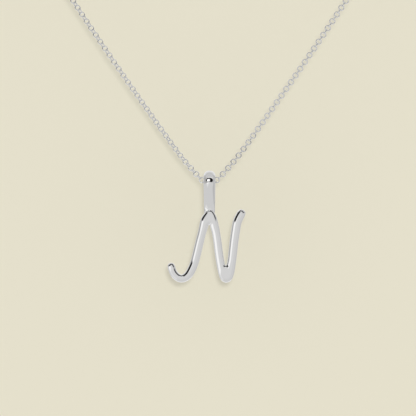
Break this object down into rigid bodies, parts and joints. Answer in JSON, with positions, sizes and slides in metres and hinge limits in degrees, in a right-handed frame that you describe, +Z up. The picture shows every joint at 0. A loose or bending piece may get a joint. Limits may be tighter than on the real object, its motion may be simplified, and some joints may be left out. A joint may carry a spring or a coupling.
{
  "type": "initial pendant on a fine chain",
  "caption": "Silver script letter pendant with a tapered bail, hanging free on a fine round-link chain that closes round a neck with a plain clasp.",
  "frame": {"origin": "the middle of the clasp, where the chain sits on the nape of the neck", "axes": "+Z up, -Y to the front where the pendant hangs, +X to the right seen from the front"},
  "size_m": [0.1228, 0.111, 0.1266],
  "materials": {
    "polished_silver": "mirror polished cast silver",
    "chain_silver": "bright silver wire links"
  },
  "bodies": {
    "necklace": {"chain": "chain_silver", "clasp": "polished_silver"},
    "letter": {"pendant": "polished_silver"}
  },
  "joints": [
    {"name": "pendant_swing", "type": "hinge", "parent": "necklace", "child": "letter", "pos_m": [0, -0.108, -0.104], "axis": [1, 0, 0], "range_deg": [-80, 80]}
  ]
}
